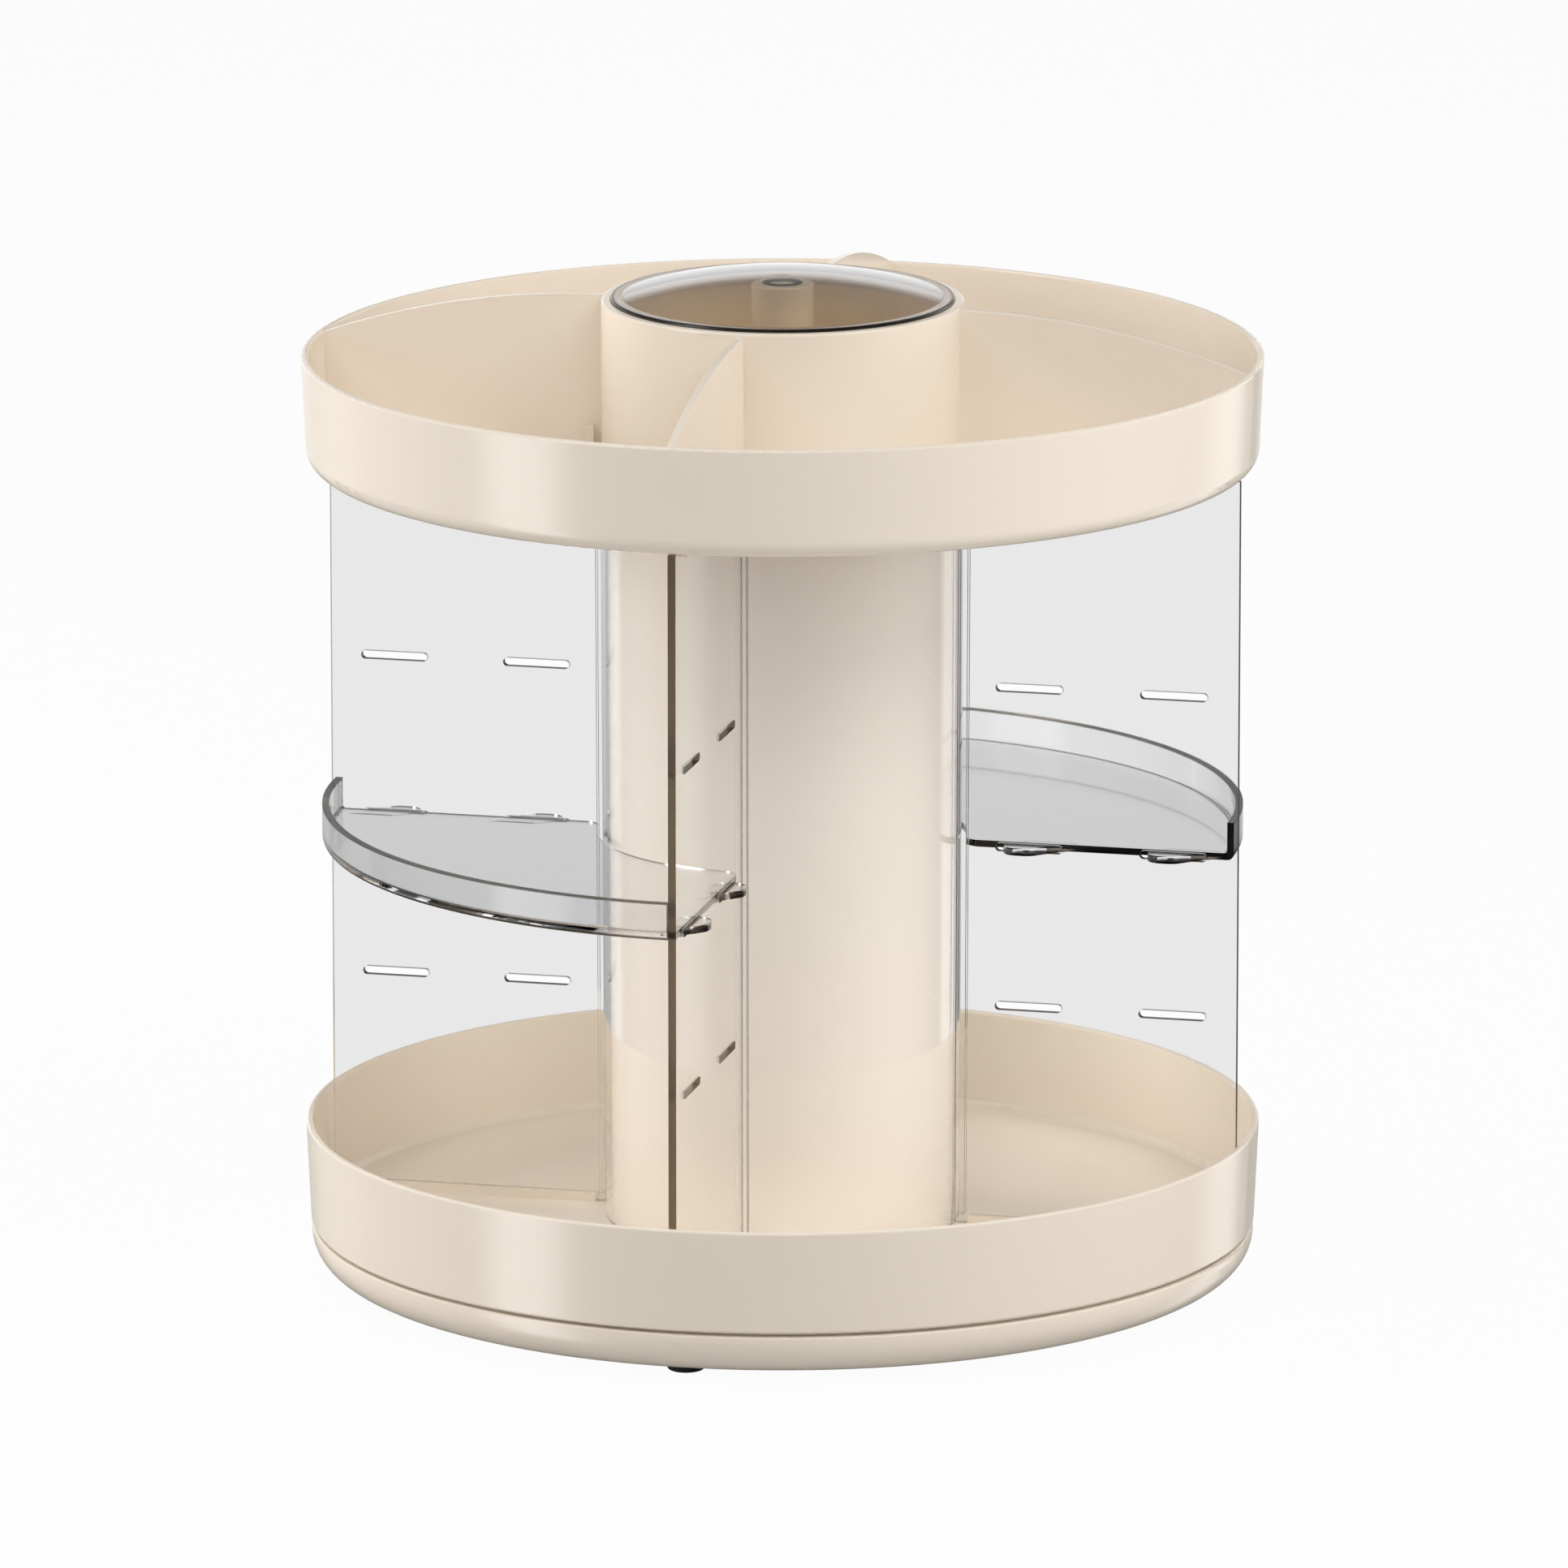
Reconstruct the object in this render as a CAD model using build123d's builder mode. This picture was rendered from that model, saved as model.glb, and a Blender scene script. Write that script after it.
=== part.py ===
"""Rotating makeup organizer.

A lower tray turns on a ball track above a fixed round base. A column rises from the tray,
clad in a clear sleeve that holds four clear panels, and carries the upper tray with its
arched dividers and its collar. Two clear quarter shelves hang by slanted tongues in the slots
of the panels, and a clear domed lid closes the collar. One flanged post, pulled down by a
screw from below, ties the turning stack together.

Lengths are in millimetres. +Z is up, the origin is on the table under the turning axis, and
the panels lie along X and Y.
"""
import os
from math import cos, radians, sin

from build123d import *

# Heights of the stack, from the table up
foot_height = 3.0            # base above the table
base_height = 12.0           # base, from its underside to its top edge
seam_gap = 1.0               # running gap between the base and the lower tray
floor_rise = 0.5             # lower tray's floor above that gap
lower_tray_height = 30.2
bay_height = 196.4           # lower rim to the underside of the upper tray
upper_tray_height = 32.0
collar_rise = 15.6           # collar above the upper rim

# Trays
rim_radius = 140.0
tray_draft = 1.4             # how much narrower a tray is at its underside
tray_wall = 2.0
tray_floor = 2.2
tray_inner_round = 2.5       # between floor and wall
rim_round = 0.8
upper_tray_round = 5.0       # lower outer corner of the upper tray
lower_tray_round = 0.8       # lower outer corner of the lower tray

# Base
base_draft = 1.6             # base narrower than the rims
base_wall = 2.0
base_round = 10.0            # lower outer corner of the base
base_lip_round = 0.6
nest_gap = 0.3               # lower tray's nested floor, inside the base's wall

# Feet
foot_radius = 5.5
foot_inset = 18.4            # middle of a foot, inside the edge of the base
foot_socket = 1.0            # depth of a foot's seat in the base
foot_round = 1.0

# Ball track
ball_radius = 3.0
ball_inset = 33.4            # ball centres, inside the edge of the base
ball_count = 16
ball_gap = 0.3               # ball to groove, and ball to cage
track_width = 11.0
track_recess = 1.0           # track face to the plane of the ball centres
cage_thickness = 1.4
cage_width = 13.0

# Pivot
pivot_radius = 8.0           # boss of the hub plate, under the lower tray
pivot_gap = 0.08             # boss in its bush
bush_wall = 2.0
bush_flange = 3.0            # flange width beyond the bush wall
bush_flange_height = 1.0
hub_wall = 3.0               # base hub round the bush
hub_height = 5.5
pocket_radius = 17.0         # pocket under the base for washer and screw head
pocket_depth = 4.0
washer_radius = 13.0
washer_thickness = 1.6
thrust_gap = 0.2             # washer to hub
hub_plate_thickness = 2.0    # plate on the lower tray, inside the column
hub_plate_gap = 0.1          # boss in the tray's hole
screw_radius = 2.5
screw_hole_gap = 0.1
screw_head_radius = 5.0
screw_head_height = 1.8
screw_bite = 30.0            # screw length inside the post
screw_tip_gap = 2.0          # pilot hole beyond the screw's tip
socket_radius = 1.3          # half-width of the drive recess
socket_depth = 1.0

# Column and its clear sleeve
column_radius = 50.0         # outside, at the foot
column_draft = 0.8           # how much wider the column is at its top
column_wall = 2.2
spigot_height = 6.0          # ring on the hub plate that centres the column's foot
spigot_wall = 1.6
spigot_gap = 0.25
seat_depth = 0.8             # groove under the upper tray for the column's top
seat_gap = 0.25
sleeve_gap = 0.3
sleeve_wall = 2.0
channel_wall = 1.0           # ribs on the sleeve that hold a panel's inner edge
channel_depth = 2.8

# Panels
panel_thickness = 2.3
panel_inset = 3.8            # panel's outer edge, inside the rims
panel_edge_gap = 0.15        # panel to channel, each side
panel_corner = 5.0           # lower outer corner
slot_length = 20.0
slot_height = 2.5
slot_inner_inset = 21.7      # middle of the inner slots, out from the sleeve
slot_outer_inset = 19.2      # middle of the outer slots, in from the panel's edge
slot_first = 66.1            # lowest slots above the tray floor
slot_pitch = 47.7
slot_levels = 3
keeper_height = 2.5          # low ribs on the lower tray, either side of a panel
top_keeper_height = 2.0      # the same under the upper tray
keeper_wall = 1.2
keeper_inset = 5.0           # keeper ends, inside the tray's flat
panel_turns = {"panel_right": 0, "panel_back": 90, "panel_left": 180, "panel_front": 270}

# Shelves
shelf_inset = 1.5            # shelf's lip, inside the panel's outer edge
shelf_inner_gap = 1.2        # shelf's inner edge, out from the sleeve
shelf_plate = 2.0
shelf_lip_height = 11.2
shelf_lip = 2.0
shelf_lip_round = 2.0
shelf_side_gap = 0.6         # shelf edge to panel face
shelf_inner_corner = 5.0
shelf_level = 1              # counted from the lowest slots
shelf_drop = 0.7             # plate's underside below the middle of its slots
tongue_height = 2.2
tongue_end_gap = 1.35        # tongue to slot end, each side
tongue_reach = 5.0           # tongue beyond the far face of the panel
tongue_root = 4.0            # root pad under the plate
tongue_round = 4.5
shelf_turns = {"shelf_back_right": 0, "shelf_front_left": 180}

# Upper tray's collar, dividers and small features
collar_radius = 52.8
collar_wall = 2.5
collar_round = 0.8
ledge_width = 1.6            # ledge inside the collar, under the lid
ledge_height = 2.0
divider_thickness = 2.0
divider_drop = 1.0           # divider's top below the collar's top
rib_height = 5.9             # short upright rib beside each divider's root
rib_width = 2.0
rib_length = 2.5
rib_stand = 2.9              # rib clear of the collar
rib_offset = 3.3             # rib's middle from the divider's middle
rib_round = 0.8
lug_width = 12.5             # raised lug on the rear of the rim, at its root
lug_top_width = 7.5
lug_height = 1.6
lug_round = 1.4
lug_turn = 93.6

# Lid
lid_gap = 0.3                # lid in the collar
lid_rim = 2.0                # lid's rim below the collar's top
lid_proud = 0.9              # lid's rim above the collar's top
lid_wall = 1.8
skirt_gap = 0.3              # lid's skirt inside the ledge
skirt_wall = 1.6
skirt_depth = 4.0
lid_edge_round = 0.5

# Post
post_radius = 9.1
post_bore = 5.9
post_gap = 0.3               # post in the trays' holes
post_top_rise = 3.4          # post's top above the collar's top
post_foot = 42.0             # solid length at the post's foot
post_flange = 20.0
post_flange_height = 3.0
post_socket_wall = 2.4       # ring on the hub plate round the post's foot
post_socket_height = 6.0
post_round = 0.6
post_lid_gap = 2.1           # post's top to the lid
plug_gap = 0.05
plug_length = 8.0
button_radius = 4.2
button_height = 3.0
button_drop = 0.3            # button's top below the post's rim
button_round = 0.5

# Overlap by which fused features run into each other, and by which cuts overrun
bite = 0.5
overrun = 5.0

# Levels that follow from the heights
z_base = foot_height
z_base_floor = z_base + base_wall
z_base_top = z_base + base_height
z_lower = z_base_top + seam_gap
z_lower_floor = z_lower + floor_rise
z_nest = z_lower_floor - tray_floor
z_lower_rim = z_lower + lower_tray_height
z_upper = z_lower_rim + bay_height
z_upper_floor = z_upper + tray_floor
z_upper_rim = z_upper + upper_tray_height
z_collar = z_upper_rim + collar_rise
z_column_top = z_upper + seat_depth
z_ball = (z_base_floor + z_nest) / 2
z_hub_under = z_base + pocket_depth
z_hub_top = z_hub_under + hub_height
z_boss = z_hub_under - thrust_gap
z_washer = z_boss - washer_thickness
z_post_top = z_collar + post_top_rise
z_lid_top = z_post_top + post_lid_gap + lid_wall
z_hub_plate = z_lower_floor + hub_plate_thickness

# Radii that follow
tray_foot_radius = rim_radius - tray_draft
base_radius = rim_radius - base_draft
nest_radius = base_radius - base_wall - nest_gap
foot_circle = base_radius - foot_inset
ball_circle = base_radius - ball_inset
panel_radius = rim_radius - panel_inset
shelf_radius = panel_radius - shelf_inset
column_top_radius = column_radius + column_draft
sleeve_inner = column_radius + sleeve_gap
sleeve_outer = sleeve_inner + sleeve_wall
shelf_inner_radius = sleeve_outer + column_draft + shelf_inner_gap
slot_circles = (sleeve_outer + slot_inner_inset, panel_radius - slot_outer_inset)
bush_radius = pivot_radius + pivot_gap + bush_wall
screw_hole = screw_radius + screw_hole_gap
lid_seat = collar_radius - collar_wall
ledge_radius = lid_seat - ledge_width
panel_half = panel_thickness / 2


def radial_plane(turn, aside=0.0):
    """Upright plane through the axis: x runs outward, y up. It is set aside along its normal."""
    outward = (cos(radians(turn)), sin(radians(turn)), 0)
    across = (sin(radians(turn)), -cos(radians(turn)), 0)
    origin = (across[0] * aside, across[1] * aside, 0)
    return Plane(origin=origin, x_dir=outward, z_dir=across)


def finish(builder, label):
    """Name a finished piece and write it to its own file."""
    builder.part.label = label
    export_step(builder.part, f"parts/{label}.step")


def round_corner(radius, *corners):
    """Round the corners of the open sketch that lie nearest to the given points."""
    for corner in corners:
        fillet(vertices().sort_by_distance(corner).first, radius=radius)


def revolve_outline(*points):
    """Turn a closed outline of (radius, height) points about the axis."""
    with BuildSketch(Plane.XZ) as section:
        with BuildLine():
            Polyline(*points, close=True)
        make_face()
    revolve(section.sketch, axis=Axis.Z)


def dish(z_under, z_floor, z_rim, under_round):
    """Body of a tray: flat floor, drafted wall, rounded rim."""
    inner_foot = (tray_foot_radius - tray_wall, z_floor)
    outer_rim = (rim_radius, z_rim)
    inner_rim = (rim_radius - tray_wall, z_rim)
    outer_foot = (tray_foot_radius, z_under)
    with BuildSketch(Plane.XZ) as section:
        with BuildLine():
            Polyline((0, z_under), outer_foot, outer_rim, inner_rim, inner_foot, (0, z_floor), close=True)
        make_face()
        round_corner(under_round, outer_foot)
        round_corner(tray_inner_round, inner_foot)
        round_corner(rim_round, outer_rim, inner_rim)
    revolve(section.sketch, axis=Axis.Z)


def keepers(z_from, z_to, outer_radius):
    """Pairs of low ribs that hold the edge of each panel on a tray."""
    inner_radius = sleeve_outer + column_draft + channel_depth + sleeve_gap
    aside = panel_half + panel_edge_gap + keeper_wall / 2
    for turn in panel_turns.values():
        for side in (-aside, aside):
            with BuildSketch(radial_plane(turn, side)) as rib:
                with BuildLine():
                    Polyline(
                        (inner_radius, z_from),
                        (outer_radius, z_from),
                        (outer_radius, z_to),
                        (inner_radius, z_to),
                        close=True,
                    )
                make_face()
            extrude(rib.sketch, amount=keeper_wall / 2, both=True)


def ball_track(z_root, z_face):
    """Ring that carries half of the ball groove."""
    inner = ball_circle - track_width / 2
    outer = ball_circle + track_width / 2
    revolve_outline((inner, z_root), (outer, z_root), (outer, z_face), (inner, z_face))
    with BuildSketch(Plane.XZ) as groove:
        with Locations((ball_circle, z_ball)):
            Circle(ball_radius + ball_gap)
    revolve(groove.sketch, axis=Axis.Z, mode=Mode.SUBTRACT)


os.makedirs("parts", exist_ok=True)

# Base: a shallow round dish with a raised hub over the pocket for the washer and screw head
with BuildPart() as base_shell:
    pocket_outer = pocket_radius + base_wall
    z_hub_floor = z_hub_under + base_wall
    with BuildSketch(Plane.XZ):
        with BuildLine():
            Polyline(
                (bush_radius, z_hub_under),
                (pocket_radius, z_hub_under),
                (pocket_radius, z_base),
                (base_radius, z_base),
                (base_radius, z_base_top),
                (base_radius - base_wall, z_base_top),
                (base_radius - base_wall, z_base_floor),
                (pocket_outer, z_base_floor),
                (pocket_outer, z_hub_floor),
                (bush_radius + hub_wall, z_hub_floor),
                (bush_radius + hub_wall, z_hub_top),
                (bush_radius, z_hub_top),
                close=True,
            )
        make_face()
        round_corner(base_round, (base_radius, z_base))
        round_corner(base_round - base_wall, (base_radius - base_wall, z_base_floor))
        round_corner(
            base_lip_round,
            (base_radius, z_base_top),
            (base_radius - base_wall, z_base_top),
        )
    revolve(axis=Axis.Z)
    ball_track(z_base_floor - bite, z_ball - track_recess)
    with BuildSketch(Plane.XY.offset(z_base)):
        with PolarLocations(foot_circle, len(panel_turns)):
            Circle(foot_radius)
    extrude(amount=foot_socket, mode=Mode.SUBTRACT)
finish(base_shell, "base_shell")

# Feet: soft pads seated in the underside of the base, one below each panel
for panel_name, panel_turn in panel_turns.items():
    foot_x = foot_circle * cos(radians(panel_turn))
    foot_y = foot_circle * sin(radians(panel_turn))
    with BuildPart() as foot:
        with BuildSketch(Plane.XY):
            with Locations((foot_x, foot_y)):
                Circle(foot_radius)
        extrude(amount=foot_height + foot_socket)
        fillet(foot.edges().group_by(Axis.Z)[0], radius=foot_round)
    finish(foot, panel_name.replace("panel", "foot"))

# Bush: flanged liner of the hub
with BuildPart() as pivot_bush:
    bush_bore = pivot_radius + pivot_gap
    z_bush_top = z_hub_top + bush_flange_height
    revolve_outline(
        (bush_bore, z_hub_under),
        (bush_radius, z_hub_under),
        (bush_radius, z_hub_top),
        (bush_radius + bush_flange, z_hub_top),
        (bush_radius + bush_flange, z_bush_top),
        (bush_bore, z_bush_top),
    )
finish(pivot_bush, "pivot_bush")

# Ball cage: flat ring that spaces the balls
with BuildPart() as ball_cage:
    with BuildSketch(Plane.XY.offset(z_ball)):
        Circle(ball_circle + cage_width / 2)
        Circle(ball_circle - cage_width / 2, mode=Mode.SUBTRACT)
        with PolarLocations(ball_circle, ball_count):
            Circle(ball_radius + ball_gap, mode=Mode.SUBTRACT)
    extrude(amount=cage_thickness / 2, both=True)
finish(ball_cage, "ball_cage")

# Balls: one group of steel balls in the cage
with BuildPart() as bearing_balls:
    with Locations((0, 0, z_ball)):
        with PolarLocations(ball_circle, ball_count):
            Sphere(ball_radius)
finish(bearing_balls, "bearing_balls")

# Lower tray: dish whose floor nests in the base, with a hole for the hub plate's boss, panel
# keepers above and a ball track below
with BuildPart() as lower_tray:
    dish(z_lower, z_lower_floor, z_lower_rim, lower_tray_round)
    z_nest_top = z_lower + floor_rise / 2
    revolve_outline((0, z_nest), (nest_radius, z_nest), (nest_radius, z_nest_top), (0, z_nest_top))
    ball_track(z_nest + bite, z_ball + track_recess)
    keeper_end = tray_foot_radius - tray_wall - tray_inner_round - keeper_inset
    keepers(z_lower_floor - bite, z_lower_floor + keeper_height, keeper_end)
    with BuildSketch(Plane.XY.offset(z_nest)):
        Circle(pivot_radius + hub_plate_gap)
    extrude(amount=tray_floor, mode=Mode.SUBTRACT)
finish(lower_tray, "lower_tray")

# Hub plate: lies on the tray inside the column, centres column and post, and carries the boss
with BuildPart() as hub_plate:
    spigot_radius = column_radius - column_wall - spigot_gap
    spigot_inner = spigot_radius - spigot_wall
    z_spigot_top = z_hub_plate + spigot_height
    socket_bore = post_radius + post_gap
    socket_outer = socket_bore + post_socket_wall
    z_socket_top = z_hub_plate + post_socket_height
    revolve_outline(
        (screw_hole, z_boss),
        (pivot_radius, z_boss),
        (pivot_radius, z_lower_floor),
        (spigot_radius, z_lower_floor),
        (spigot_radius, z_spigot_top),
        (spigot_inner, z_spigot_top),
        (spigot_inner, z_hub_plate),
        (socket_outer, z_hub_plate),
        (socket_outer, z_socket_top),
        (socket_bore, z_socket_top),
        (socket_bore, z_hub_plate),
        (screw_hole, z_hub_plate),
    )
finish(hub_plate, "hub_plate")

# Washer under the hub, which keeps the base on the boss
with BuildPart() as pivot_washer:
    with BuildSketch(Plane.XY.offset(z_washer)):
        Circle(washer_radius)
        Circle(screw_hole, mode=Mode.SUBTRACT)
    extrude(amount=washer_thickness)
finish(pivot_washer, "pivot_washer")

# Tie screw, from the washer up into the post
with BuildPart() as tie_screw:
    z_screw_tip = z_hub_plate + screw_bite
    with BuildSketch(Plane.XY.offset(z_washer)):
        Circle(screw_radius)
    extrude(amount=z_screw_tip - z_washer)
    with BuildSketch(Plane.XY.offset(z_washer)):
        Circle(screw_head_radius)
    extrude(amount=-screw_head_height)
    with BuildSketch(Plane.XY.offset(z_washer - screw_head_height)):
        RegularPolygon(socket_radius, side_count=6)
    extrude(amount=socket_depth, mode=Mode.SUBTRACT)
finish(tie_screw, "tie_screw")

# Column: drafted tube between the trays
with BuildPart() as column:
    revolve_outline(
        (column_radius - column_wall, z_lower_floor),
        (column_radius, z_lower_floor),
        (column_top_radius, z_column_top),
        (column_top_radius - column_wall, z_column_top),
    )
finish(column, "column")

# Sleeve: clear tube over the column, with a channel for the inner edge of each panel
with BuildPart() as column_sleeve:
    revolve_outline(
        (sleeve_inner, z_lower_floor),
        (sleeve_outer, z_lower_floor),
        (sleeve_outer + column_draft, z_upper),
        (sleeve_inner + column_draft, z_upper),
    )
    channel_aside = panel_half + panel_edge_gap + channel_wall / 2
    z_channel = z_lower_floor + keeper_height + panel_edge_gap
    z_channel_top = z_upper - top_keeper_height - panel_edge_gap
    for panel_turn in panel_turns.values():
        for side in (-channel_aside, channel_aside):
            with BuildSketch(radial_plane(panel_turn, side)):
                with BuildLine():
                    Polyline(
                        (sleeve_outer - bite, z_channel),
                        (sleeve_outer + channel_depth, z_channel),
                        (sleeve_outer + column_draft + channel_depth, z_channel_top),
                        (sleeve_outer + column_draft - bite, z_channel_top),
                        close=True,
                    )
                make_face()
            extrude(amount=channel_wall / 2, both=True)
finish(column_sleeve, "column_sleeve")

# Panels: clear upright plates with two slots at each shelf level
for panel_name, panel_turn in panel_turns.items():
    with BuildPart() as panel:
        with BuildSketch(radial_plane(panel_turn)):
            outer_foot = (panel_radius, z_lower_floor)
            with BuildLine():
                Polyline(
                    (sleeve_outer + panel_edge_gap, z_lower_floor),
                    outer_foot,
                    (panel_radius, z_upper),
                    (sleeve_outer + column_draft + panel_edge_gap, z_upper),
                    close=True,
                )
            make_face()
            round_corner(panel_corner, outer_foot)
            for level in range(slot_levels):
                z_slot = z_lower_floor + slot_first + level * slot_pitch
                with Locations(*[(circle, z_slot) for circle in slot_circles]):
                    SlotOverall(slot_length, slot_height, mode=Mode.SUBTRACT)
        extrude(amount=panel_half, both=True)
    finish(panel, panel_name)

# Shelves: clear quarter trays whose tongues slant along the quarter's middle line
tongue_width = slot_length - panel_thickness - 2 * tongue_end_gap
tongue_tip = -panel_half - tongue_reach
shelf_side = panel_half + shelf_side_gap
z_shelf_slot = z_lower_floor + slot_first + shelf_level * slot_pitch
z_shelf = z_shelf_slot - shelf_drop
z_tongue = z_shelf_slot - tongue_height / 2
for shelf_name, shelf_turn in shelf_turns.items():
    with BuildPart() as shelf:
        outer_under = (shelf_radius, z_shelf)
        inner_root = (shelf_radius - shelf_lip, z_shelf + shelf_plate)
        with BuildSketch(Plane.XZ):
            with BuildLine():
                Polyline(
                    (shelf_inner_radius, z_shelf),
                    outer_under,
                    (shelf_radius, z_shelf + shelf_lip_height),
                    (shelf_radius - shelf_lip, z_shelf + shelf_lip_height),
                    inner_root,
                    (shelf_inner_radius, z_shelf + shelf_plate),
                    close=True,
                )
            make_face()
            round_corner(shelf_lip_round, outer_under)
            round_corner(shelf_lip_round - shelf_lip / 2, inner_root)
        revolve(axis=Axis.Z, revolution_arc=90)
        split(bisect_by=Plane(origin=(0, shelf_side, 0), z_dir=(0, 1, 0)), keep=Keep.TOP)
        split(bisect_by=Plane(origin=(shelf_side, 0, 0), z_dir=(1, 0, 0)), keep=Keep.TOP)
        inner_corners = shelf.edges().filter_by(Axis.Z).sort_by(Axis((0, 0, 0), (1, 1, 0)))[:2]
        fillet(inner_corners, radius=shelf_inner_corner)
        for slot_circle in slot_circles:
            for swap in (False, True):
                for depth_from, depth_to, height in (
                    (tongue_tip, shelf_side + tongue_root, tongue_height),
                    (shelf_side, shelf_side + tongue_root, z_shelf - z_tongue + shelf_plate / 2),
                ):
                    outline = [
                        (slot_circle + depth_from - tongue_width / 2, depth_from),
                        (slot_circle + depth_from + tongue_width / 2, depth_from),
                        (slot_circle + depth_to + tongue_width / 2, depth_to),
                        (slot_circle + depth_to - tongue_width / 2, depth_to),
                    ]
                    if swap:
                        outline = [(y, x) for x, y in outline]
                    with BuildSketch(Plane.XY.offset(z_tongue)):
                        with BuildLine():
                            Polyline(*outline, close=True)
                        make_face()
                        if depth_from == tongue_tip:
                            round_corner(tongue_round, outline[0], outline[1])
                    extrude(amount=height)
    placed = shelf.part.rotate(Axis.Z, shelf_turn)
    placed.label = shelf_name
    export_step(placed, f"parts/{shelf_name}.step")

# Upper tray: dish, collar with the lid's ledge, arched dividers, short ribs and the rear lug
with BuildPart() as upper_tray:
    dish(z_upper, z_upper_floor, z_upper_rim, upper_tray_round)
    with BuildSketch(Plane.XZ):
        collar_top = (collar_radius, z_collar)
        ledge_top = z_collar - lid_rim
        with BuildLine():
            Polyline(
                (lid_seat, z_upper_floor - bite),
                (collar_radius, z_upper_floor - bite),
                collar_top,
                (lid_seat, z_collar),
                (lid_seat, ledge_top),
                (ledge_radius, ledge_top),
                (ledge_radius, ledge_top - ledge_height),
                (lid_seat, ledge_top - ledge_height),
                close=True,
            )
        make_face()
        round_corner(collar_round, collar_top)
    revolve(axis=Axis.Z)
    divider_top = z_collar - divider_drop
    divider_end = rim_radius - tray_wall / 2
    for panel_turn in panel_turns.values():
        with BuildSketch(radial_plane(panel_turn)):
            with BuildLine():
                root_top = (collar_radius - bite, divider_top)
                crest = Line(root_top, (collar_radius, divider_top))
                arch = TangentArc(crest @ 1, (divider_end, z_upper_rim - rim_round), tangent=crest % 1)
                Polyline(
                    arch @ 1,
                    (tray_foot_radius - tray_wall / 2, z_upper_floor - bite),
                    (collar_radius - bite, z_upper_floor - bite),
                    root_top,
                )
            make_face()
        extrude(amount=divider_thickness / 2, both=True)
        rib_inner = collar_radius + rib_stand
        with BuildSketch(radial_plane(panel_turn, -rib_offset)):
            with BuildLine():
                Polyline(
                    (rib_inner, z_upper_floor - bite),
                    (rib_inner + rib_length, z_upper_floor - bite),
                    (rib_inner + rib_length, z_upper_floor + rib_height),
                    (rib_inner, z_upper_floor + rib_height),
                    close=True,
                )
            make_face()
            rib_top = z_upper_floor + rib_height
            round_corner(rib_round, (rib_inner, rib_top), (rib_inner + rib_length, rib_top))
        extrude(amount=rib_width / 2, both=True)
    lug_out = (cos(radians(lug_turn)), sin(radians(lug_turn)), 0)
    lug_along = (-lug_out[1], lug_out[0], 0)
    lug_face = rim_radius - rim_round / 2
    lug_origin = (lug_out[0] * lug_face, lug_out[1] * lug_face, z_upper_rim)
    with BuildSketch(Plane(origin=lug_origin, x_dir=lug_along, z_dir=lug_out)):
        with BuildLine():
            Polyline(
                (-lug_width / 2, -lug_height),
                (lug_width / 2, -lug_height),
                (lug_width / 2, 0),
                (lug_top_width / 2, lug_height),
                (-lug_top_width / 2, lug_height),
                (-lug_width / 2, 0),
                close=True,
            )
        make_face()
        round_corner(lug_round, (lug_top_width / 2, lug_height), (-lug_top_width / 2, lug_height))
    extrude(amount=rim_round - tray_wall)
    with BuildSketch(Plane.XY.offset(z_upper)):
        Circle(column_top_radius + seat_gap)
        Circle(column_top_radius - column_wall - seat_gap, mode=Mode.SUBTRACT)
    extrude(amount=seat_depth, mode=Mode.SUBTRACT)
    keeper_end = tray_foot_radius - upper_tray_round - keeper_inset
    keepers(z_upper - top_keeper_height, z_upper + bite, keeper_end)
    with BuildSketch(Plane.XY.offset(z_upper)):
        Circle(post_radius + post_gap)
    extrude(amount=tray_floor + overrun, mode=Mode.SUBTRACT)
finish(upper_tray, "upper_tray")

# Post: flanged tube that the tie screw pulls down onto the upper tray
with BuildPart() as tie_post:
    z_flange_top = z_upper_floor + post_flange_height
    with BuildSketch(Plane.XZ):
        post_rim = (post_radius, z_post_top)
        with BuildLine():
            Polyline(
                (0, z_hub_plate),
                (post_radius, z_hub_plate),
                (post_radius, z_upper_floor),
                (post_flange, z_upper_floor),
                (post_flange, z_flange_top),
                (post_radius, z_flange_top),
                post_rim,
                (post_bore, z_post_top),
                (post_bore, z_hub_plate + post_foot),
                (0, z_hub_plate + post_foot),
                close=True,
            )
        make_face()
        round_corner(post_round, post_rim)
    revolve(axis=Axis.Z)
    with BuildSketch(Plane.XY.offset(z_hub_plate)):
        Circle(screw_hole)
    extrude(amount=screw_bite + screw_tip_gap, mode=Mode.SUBTRACT)
finish(tie_post, "tie_post")

# Plug: closes the post's bore, with a round button standing in it
with BuildPart() as post_plug:
    z_button = z_post_top - button_drop
    z_plug_top = z_button - button_height
    with BuildSketch(Plane.XZ):
        with BuildLine():
            Polyline(
                (0, z_plug_top - plug_length),
                (post_bore - plug_gap, z_plug_top - plug_length),
                (post_bore - plug_gap, z_plug_top),
                (button_radius, z_plug_top),
                (button_radius, z_button),
                (0, z_button),
                close=True,
            )
        make_face()
        round_corner(button_round, (button_radius, z_button))
    revolve(axis=Axis.Z)
finish(post_plug, "post_plug")

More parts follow.
